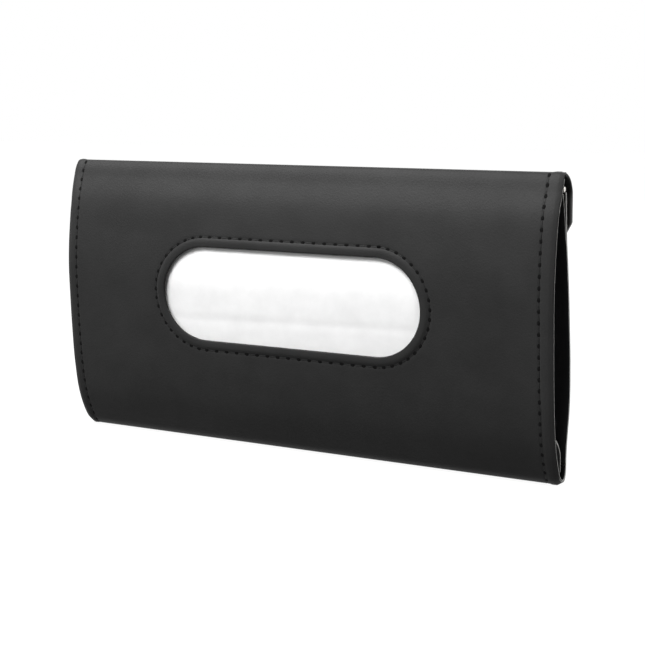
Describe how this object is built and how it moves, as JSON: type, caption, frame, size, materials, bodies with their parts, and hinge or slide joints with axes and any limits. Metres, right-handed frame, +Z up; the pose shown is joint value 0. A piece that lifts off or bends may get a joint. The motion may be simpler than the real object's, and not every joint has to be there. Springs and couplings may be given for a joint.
{
  "type": "car tissue holder",
  "caption": "Black PU leather wrap case for tissues, with an oval opening in its bulged front, a magnetic flap over its opening back panel, and elastic bands for a sun visor.",
  "frame": {"origin": "under the middle of the standing case, on the surface that it stands on", "axes": "+X along the case's length, to the right as seen from the front; -Y towards the front with the oval opening; +Z up"},
  "size_m": [0.232, 0.0256, 0.1248],
  "materials": {
    "leather": "fine-grained black PU leather, satin",
    "lining": "matt black lining cloth",
    "board": "grey fibre board, matt",
    "tissue": "soft white tissue paper",
    "steel": "nickel-plated strip",
    "magnet": "nickel-plated magnet",
    "elastic": "woven black elastic"
  },
  "bodies": {
    "front": {"front_cover": "leather", "front_board": "board", "front_lining": "lining", "retaining_strip": "leather", "tissue_stack": "tissue", "top_tissue": "tissue"},
    "flap": {"flap_cover": "leather", "flap_board": "board", "flap_lining": "lining", "flap_magnet_left": "magnet", "flap_magnet_right": "magnet"},
    "back_panel": {"back_cover": "leather", "back_board": "board", "back_lining": "lining", "steel_keeper": "steel", "elastic_band_left": "elastic", "elastic_band_right": "elastic"}
  },
  "joints": [
    {"name": "flap_hinge", "type": "hinge", "parent": "front", "child": "flap", "pos_m": [0, -0.00112, 0.12461], "axis": [1, 0, 0], "range_deg": [0, 170]},
    {"name": "back_hinge", "type": "hinge", "parent": "front", "child": "back_panel", "pos_m": [0, 0.00835, 0.00726], "axis": [-1, 0, 0], "range_deg": [0, 18.7]}
  ],
  "couplings": [
    {"joint": "back_hinge", "follows": "flap_hinge", "ratio": 0.11}
  ]
}
